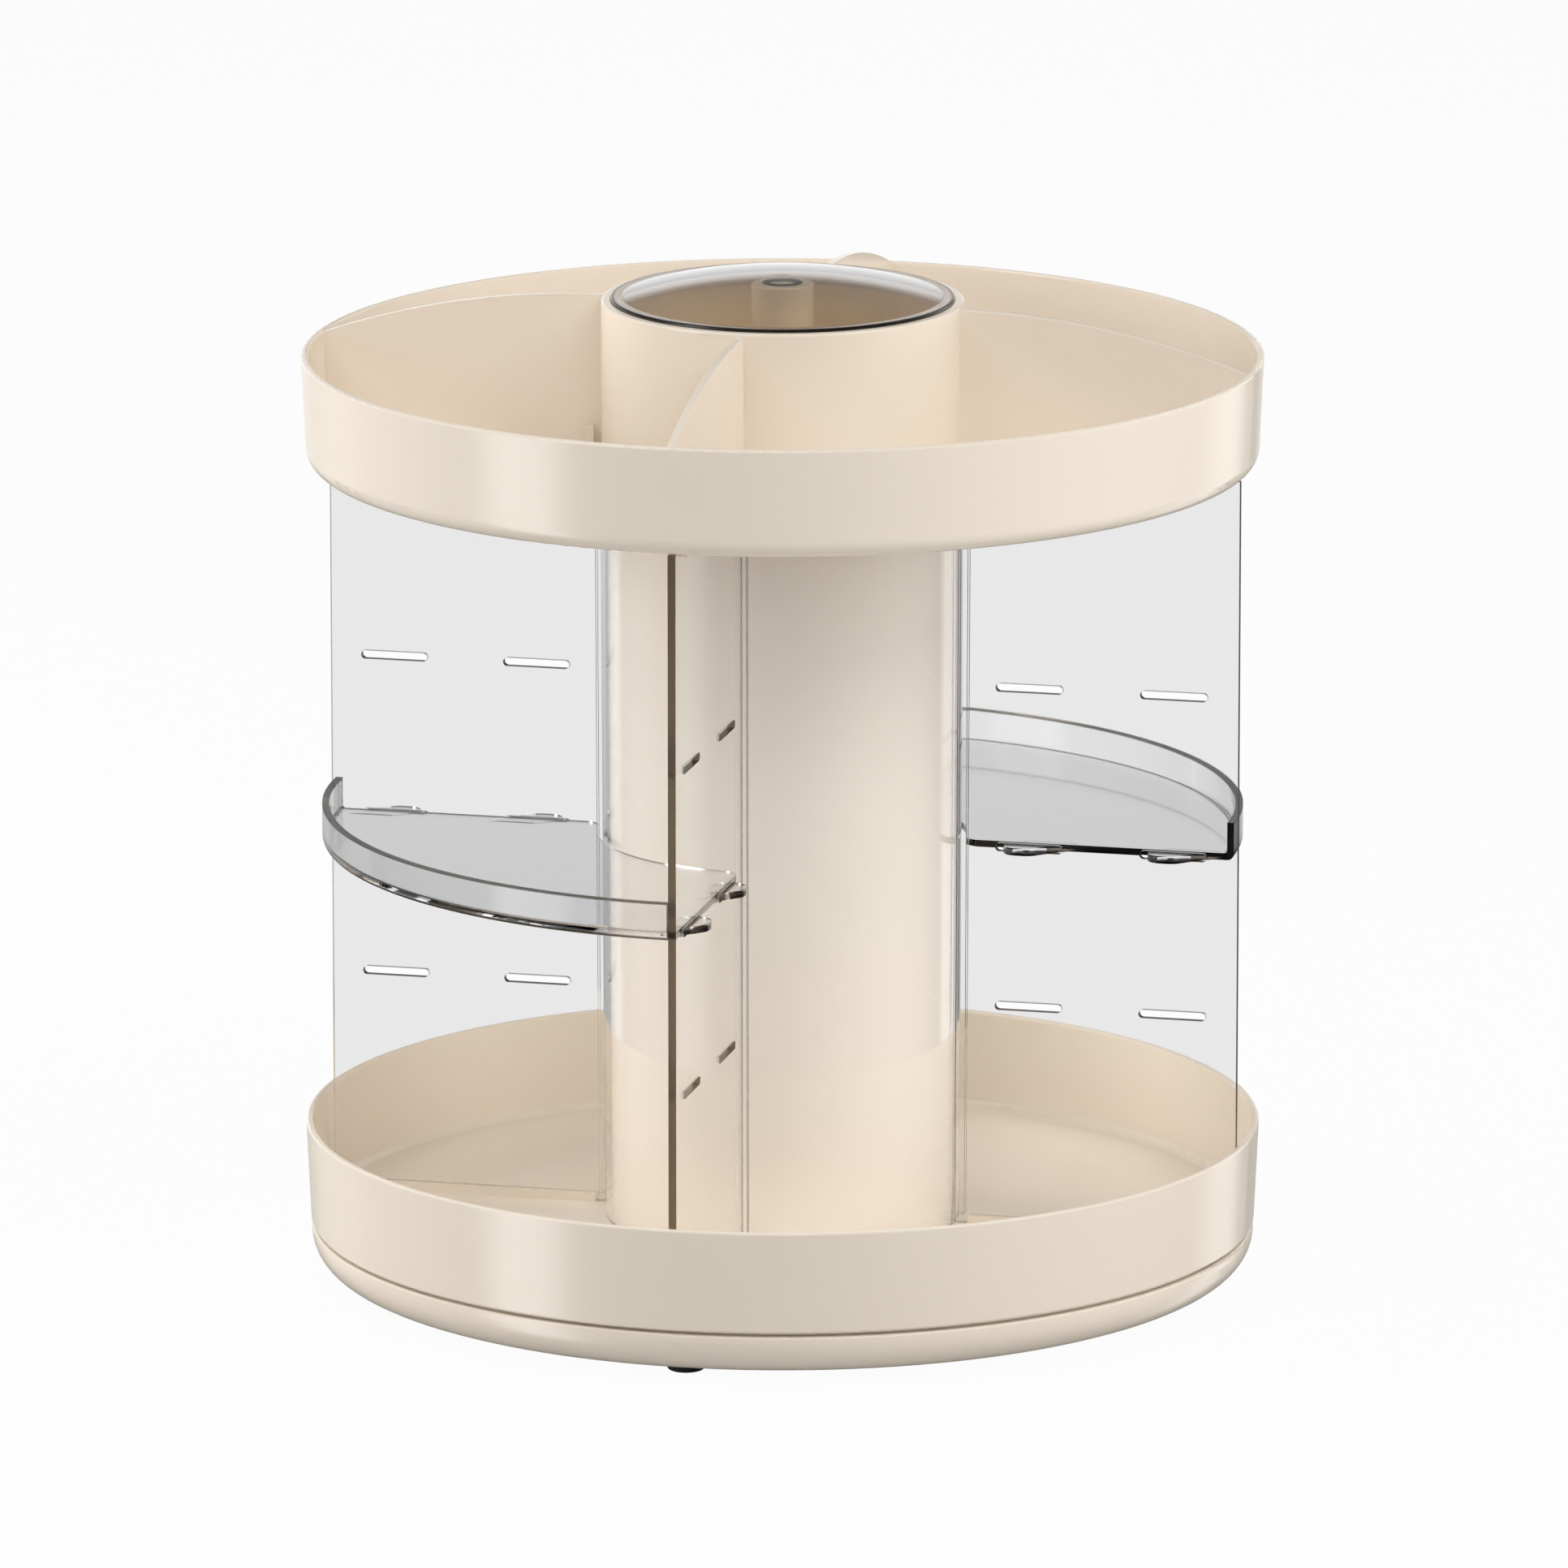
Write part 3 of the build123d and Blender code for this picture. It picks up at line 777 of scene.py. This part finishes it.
@dataclass
class TieScrew:
    """Round-headed screw with a coarse thread and a six-sided drive recess."""

    node: str = "tie_screw"
    body: str = "carousel"
    head_height: float = 0.0018
    head_round: float = 0.0007
    round_steps: int = 5
    socket_sides: int = 6
    socket_radius: float = 0.0013
    socket_depth: float = 0.0010
    shank_radius: float = 0.0025
    core_radius: float = 0.00195
    plain_length: float = 0.006
    tip_length: float = 0.004
    tip_share: float = 0.35
    pitch: float = 0.0018
    ridge_middle: float = 0.5
    ridge_slope: float = 3.0
    rows_per_turn: int = 8
    steps: int = 48

    def hexagon(self, centre: Vector, height: float) -> list[Vector]:
        """Six-sided outline of the drive recess.

        Args:
            centre: Foot of the screw's axis.
            height: Height above the head's underside.

        Returns:
            A ring with as many points as the other rings.
        """
        side = math.tau / self.socket_sides
        points = []
        for step in range(self.steps):
            turn = math.tau * step / self.steps
            reach = self.socket_radius * math.cos(side / 2) / math.cos(turn % side - side / 2)
            points.append(around(centre, reach, turn, height))
        return points

    def thread(self, centre: Vector, height: float, length: float) -> list[Vector]:
        """One row of the thread.

        Args:
            centre: Foot of the screw's axis.
            height: Height of the row above the head's underside.
            length: Length of the whole screw.

        Returns:
            A ring whose radius follows the winding ridge.
        """
        left = min(1.0, (length - height) / self.tip_length)
        taper = self.tip_share + (1 - self.tip_share) * left
        points = []
        for step in range(self.steps):
            turn = step / self.steps
            phase = (height / self.pitch - turn) % 1.0
            ridge = max(0.0, 1 - abs(phase - self.ridge_middle) * self.ridge_slope)
            radius = (self.core_radius + (self.shank_radius - self.core_radius) * ridge) * taper
            points.append(around(centre, radius, math.tau * turn, height))
        return points

    def build(self, steel: bpy.types.Material) -> None:
        """Model the screw.

        Args:
            steel: Its finish.
        """
        low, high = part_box(self.node)
        foot = Vector((0.0, 0.0, low.z))
        head_radius = (high.x - low.x) / 2
        length = high.z - low.z
        rings = [self.hexagon(foot, self.socket_depth), self.hexagon(foot, 0.0)]
        for step in range(self.round_steps + 1):
            turn = math.pi / 2 * step / self.round_steps
            radius = head_radius - self.head_round * (1 - math.sin(turn))
            rings.append(circle(foot, radius, self.head_round * (1 - math.cos(turn)), self.steps))
        rings.append(circle(foot, head_radius, self.head_height, self.steps))
        rings.append(circle(foot, self.core_radius, self.head_height, self.steps))
        start = self.head_height + self.plain_length
        rings.append(circle(foot, self.core_radius, start, self.steps))
        rows = int((length - start) / self.pitch * self.rows_per_turn)
        for row in range(1, rows + 1):
            rings.append(self.thread(foot, start + (length - start) * row / rows, length))
        add_piece(skin("tie_screw_thread", rings), self.body, steel, self.node)


@dataclass
class BallTrack:
    """Ball race between base and carousel, with the pivot's steel."""

    acetal_nodes: Sequence[str] = ("ball_cage", "hub_plate")
    steel_nodes: Sequence[str] = ("bearing_balls", "pivot_washer")
    screw: TieScrew = field(default_factory=TieScrew)

    def build(self, acetal: bpy.types.Material, steel: bpy.types.Material) -> None:
        """Dress the race and model its screw.

        Args:
            acetal: Finish of the cage and the hub plate.
            steel: Finish of the balls, washer and screw.
        """
        for node in self.acetal_nodes:
            paint(node, acetal)
        for node in self.steel_nodes:
            paint(node, steel)
        self.screw.build(steel)


@dataclass
class PostGrooveShade:
    """Painted shade: a dark ring in the groove round the button at the post's top, standing in for the
    groove's shade.
    """

    carrier: str = "post_plug"
    body: str = "carousel"
    groove_depth: float = 0.0030
    inner_radius: float = 0.00425
    outer_gap: float = 0.00002
    top_rise: float = 0.0008
    crown: float = 0.0005
    section_steps: int = 10
    steps: int = 96

    def build(self, rubber: bpy.types.Material) -> None:
        """Model the ring in its groove.

        Args:
            rubber: Its finish.
        """
        low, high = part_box(self.carrier)
        axis = Vector((0.0, 0.0, 0.0))
        outer_radius = (high.x - low.x) / 2 - self.outer_gap
        middle = (self.inner_radius + outer_radius) / 2
        half = (outer_radius - self.inner_radius) / 2
        bottom = high.z - self.groove_depth
        shoulder = high.z + self.top_rise - self.crown
        rings = [circle(axis, self.inner_radius, bottom, self.steps)]
        for step in range(self.section_steps + 1):
            turn = math.pi * (1 - step / self.section_steps)
            height = shoulder + self.crown * math.sin(turn)
            rings.append(circle(axis, middle + half * math.cos(turn), height, self.steps))
        rings.append(circle(axis, outer_radius, bottom, self.steps))
        # Painted shade: the dark ring stands in for the shade in the groove.
        add_piece(skin("post_groove_shade", rings, hollow=True), self.body, rubber)


@dataclass
class Carousel:
    """Turning trays, column and post."""

    cream_nodes: Sequence[str] = ("lower_tray", "upper_tray")
    lit_cream_nodes: Sequence[str] = ("column", "tie_post", "post_plug")
    groove_shade: PostGrooveShade = field(default_factory=PostGrooveShade)

    def build(self, cream: bpy.types.Material, pale: bpy.types.Material, rubber: bpy.types.Material) -> None:
        """Dress the mouldings and model the dark ring of painted shade in the post's groove.

        Args:
            cream: Finish of the mouldings.
            pale: Finish of the column inside its sleeve and of the post in its middle: a lighter copy of the
                cream plastic, which paints light onto them where they lie in shade.
            rubber: Finish of the dark ring of painted shade in the post's groove.
        """
        for node in self.cream_nodes:
            paint(node, cream)
        # Painted light: the column and the post get the lighter copy of the cream plastic.
        for node in self.lit_cream_nodes:
            paint(node, pale)
        self.groove_shade.build(rubber)


@dataclass
class ClearPieces:
    """Sleeve, panels, shelves and lid."""

    x_panels: Sequence[str] = ("panel_left", "panel_right")
    y_panels: Sequence[str] = ("panel_front", "panel_back")
    shelves: Sequence[str] = ("shelf_front_left", "shelf_back_right")
    sleeves: Sequence[str] = ("column_sleeve",)
    lids: Sequence[str] = ("lid",)

    def build(self) -> None:
        """Dress the clear pieces."""
        finishes = (
            (CLEAR_PANEL_X, self.x_panels),
            (CLEAR_PANEL_Y, self.y_panels),
            (CLEAR_SHELF, self.shelves),
            (CLEAR_SLEEVE, self.sleeves),
            (CLEAR_LID, self.lids),
        )
        for finish, nodes in finishes:
            material = finish.dress()
            for node in nodes:
                paint(node, material)


@dataclass
class Lamp:
    """One soft box, placed by its direction from the object."""

    name: str
    azimuth: float
    elevation: float
    width: float
    height: float
    power: float
    distance: float = 1.7
    aim_height: float = 0.15

    def build(self) -> None:
        """Hang the lamp and turn it to the object."""
        data = bpy.data.lights.new(self.name, "AREA")
        data.shape = "RECTANGLE"
        data.size = self.width
        data.size_y = self.height
        data.energy = self.power
        lamp = bpy.data.objects.new(self.name, data)
        flat = math.cos(math.radians(self.elevation))
        aim = Vector((0.0, 0.0, self.aim_height))
        offset = Vector(
            (
                flat * math.cos(math.radians(self.azimuth)),
                flat * math.sin(math.radians(self.azimuth)),
                math.sin(math.radians(self.elevation)),
            )
        )
        lamp.visible_glossy = False
        lamp.visible_transmission = False
        lamp.location = aim + offset * self.distance
        lamp.rotation_euler = (-offset).to_track_quat("-Z", "Y").to_euler()
        bpy.context.scene.collection.objects.link(lamp)
        LOG.info("lamp %s", self.name)


@dataclass(frozen=True)
class Card:
    """One upright white card round the object, seen only as its reflection in the glossy plastic."""

    name: str
    first_azimuth: float
    last_azimuth: float
    level: float
    height: float = 0.75
    softness: float = 4.0
    fade: float = 0.2

    def mask(self, azimuth: Term, rise: Term) -> Term:
        """Where the card stands.

        Args:
            azimuth: Direction in degrees, from -180 to 180.
            rise: Sine of the direction's height above or below the horizon.

        Returns:
            1 on the card, 0 beside it.
        """
        starts = azimuth.rising(self.first_azimuth - self.softness, self.first_azimuth + self.softness)
        ends = azimuth.rising(self.last_azimuth - self.softness, self.last_azimuth + self.softness)
        return (starts - ends) * (1 - abs(rise).rising(self.height - self.fade, self.height))


@dataclass
class Studio:
    """Camera, pale floor, world, cards and lamps."""

    picture_side: float = 1932.0
    sensor: float = 36.0
    lens: float = 368.8
    camera_turn: float = 13.37
    camera_tilt: float = 13.09
    camera_reach: float = 4.5774
    camera_height: float = 1.2098
    shift_pixels: float = 1.7
    view_depth: float = 100.0
    transparent_bounces: int = 24
    transmission_bounces: int = 20
    glossy_bounces: int = 8
    all_bounces: int = 20
    floor_side: float = 14.0
    floor_colour: Colour = (0.65, 0.65, 0.65)
    floor_glow: float = 0.96
    mirrored: float = 0.1
    mirrored_inside: float = 0.7
    behind_clear: float = 0.855
    cards: Sequence[Card] = (
        Card("left_card", first_azimuth=-153.0, last_azimuth=-132.0, level=4.3),
        Card("right_card", first_azimuth=48.0, last_azimuth=69.0, level=1.2),
        Card("rear_card", first_azimuth=88.0, last_azimuth=125.0, level=1.2, height=0.32),
        Card("rear_left_card", first_azimuth=125.0, last_azimuth=158.0, level=0.45, height=0.45),
    )
    lamps: Sequence[Lamp] = (
        Lamp("left_box", azimuth=-168.0, elevation=10.0, width=0.8, height=0.9, power=11.0),
        Lamp("left_high_box", azimuth=-140.0, elevation=52.0, width=1.0, height=1.0, power=7.1),
        Lamp("right_box", azimuth=12.0, elevation=7.0, width=1.8, height=0.9, power=13.4),
        Lamp("right_high_box", azimuth=-18.0, elevation=45.0, width=1.0, height=1.0, power=13.2),
        Lamp("front_box", azimuth=-76.0, elevation=30.0, width=1.2, height=1.0, power=9.5),
        Lamp("rear_box", azimuth=160.0, elevation=14.0, width=0.8, height=1.0, power=14.9),
        Lamp("rear_high_box", azimuth=110.0, elevation=50.0, width=1.2, height=1.0, power=3.1),
    )

    def build(self) -> None:
        """Set up the whole studio."""
        self.camera()
        self.world()
        self.floor()
        for lamp in self.lamps:
            lamp.build()
        bpy.context.scene.view_settings.view_transform = "Standard"
        bpy.context.scene.cycles.transparent_max_bounces = self.transparent_bounces
        bpy.context.scene.cycles.transmission_bounces = self.transmission_bounces
        bpy.context.scene.cycles.glossy_bounces = self.glossy_bounces
        bpy.context.scene.cycles.max_bounces = self.all_bounces

    def camera(self) -> None:
        """Stand the camera at the photograph's angle."""
        data = bpy.data.cameras.new("camera")
        data.sensor_width = self.sensor
        data.lens = self.lens
        data.shift_x = self.shift_pixels / self.picture_side
        data.clip_end = self.view_depth
        camera = bpy.data.objects.new("camera", data)
        turn = math.radians(self.camera_turn)
        camera.location = (
            self.camera_reach * math.sin(turn),
            -self.camera_reach * math.cos(turn),
            self.camera_height,
        )
        camera.rotation_euler = (math.radians(RIGHT_ANGLE - self.camera_tilt), 0.0, turn)
        bpy.context.scene.collection.objects.link(camera)
        bpy.context.scene.camera = camera

    def rays(self, sheet: NodeSheet) -> tuple[Term, Term, Term]:
        """Sort the rays that reach the world or the floor.

        Args:
            sheet: Node sheet of the world or the floor.

        Returns:
            A mask of the rays that show the white background, its brightness for them, which is less behind
            clear plastic, and a mask of the rays that a glossy surface has mirrored.
        """
        path = sheet.add("ShaderNodeLightPath")
        straight = sheet.term(path, "Is Camera Ray")
        through = sheet.term(path, "Is Transmission Ray")
        turned = sheet.term(path, "Glossy Depth").rising(0.0, 1.0)
        scattered = sheet.term(path, "Diffuse Depth").rising(0.0, 1.0)
        seen = straight | through * (1 - (turned | scattered))
        brightness = straight * (1 - self.behind_clear) + self.behind_clear
        mirrored = sheet.term(path, "Is Glossy Ray") | through * turned * (1 - scattered)
        return seen, brightness, mirrored

    def world(self) -> None:
        """White background, and the cards for mirrored rays."""
        world = bpy.data.worlds.new("studio")
        world.use_nodes = True
        sheet = NodeSheet(world.node_tree)
        seen, brightness, mirrored = self.rays(sheet)
        level = mirrored * self.mirror_level(sheet)
        cards = sheet.add("ShaderNodeBackground", None, {"Color": solid(WHITE), "Strength": level})
        white = sheet.add("ShaderNodeBackground", None, {"Color": solid(WHITE), "Strength": brightness})
        mixed = sheet.add("ShaderNodeMixShader", None, {0: seen, 1: cards.outputs[0], 2: white.outputs[0]})
        sheet.add("ShaderNodeOutputWorld", None, {"Surface": mixed.outputs[0]})
        bpy.context.scene.world = world

    def mirror_level(self, sheet: NodeSheet) -> Term:
        """Brightness of the surroundings as the glossy plastic mirrors them.

        Args:
            sheet: Node sheet of the world.

        Returns:
            One level for rays that clear plastic lets out again, and another with the cards for all others.
        """
        x, y, rise = sheet.parts(sheet.add("ShaderNodeTexCoord").outputs["Generated"])
        azimuth = y.turn(x) * math.degrees(1.0)
        direct = sheet.term(sheet.add("ShaderNodeLightPath"), "Is Glossy Ray")
        level = direct * (self.mirrored - self.mirrored_inside) + self.mirrored_inside
        for card in self.cards:
            level = card.mask(azimuth, rise) * direct * (card.level - self.mirrored) + level
        return level

    def floor(self) -> None:
        """Pale floor that shows white and keeps a faint shadow."""
        half = self.floor_side / 2
        mesh = bpy.data.meshes.new("floor")
        corners = [(-half, -half, 0.0), (half, -half, 0.0), (half, half, 0.0), (-half, half, 0.0)]
        mesh.from_pydata(corners, [], [(0, 1, 2, 3)])
        floor = bpy.data.objects.new("floor", mesh)
        bpy.context.scene.collection.objects.link(floor)
        material, sheet = new_material("floor")
        matt = sheet.add("ShaderNodeBsdfDiffuse", None, {"Color": solid(self.floor_colour)})
        seen, brightness, mirrored = self.rays(sheet)
        glow = sheet.add("ShaderNodeEmission", None, {"Strength": brightness})
        mixed = sheet.add(
            "ShaderNodeMixShader",
            None,
            {0: seen * self.floor_glow, 1: matt.outputs[0], 2: glow.outputs[0]},
        )
        open_air = sheet.add("ShaderNodeBsdfTransparent")
        unmirrored = sheet.add(
            "ShaderNodeMixShader",
            None,
            {0: mirrored, 1: mixed.outputs[0], 2: open_air.outputs[0]},
        )
        sheet.add("ShaderNodeOutputMaterial", None, {"Surface": unmirrored.outputs[0]})
        mesh.materials.append(material)


def main() -> None:
    """Dress the organizer piece by piece and set up the studio."""
    logging.basicConfig(level=logging.INFO, format="%(name)s: %(message)s")
    cream = CREAM.dress()
    acetal = ACETAL.dress()
    rubber = Rubber().dress()
    TurntableBase().build(cream, acetal, rubber)
    BallTrack().build(acetal, BrightSteel().dress())
    Carousel().build(cream, LIT_CREAM.dress(), rubber)
    ClearPieces().build()
    Studio().build()


if __name__ == "__main__":
    main()
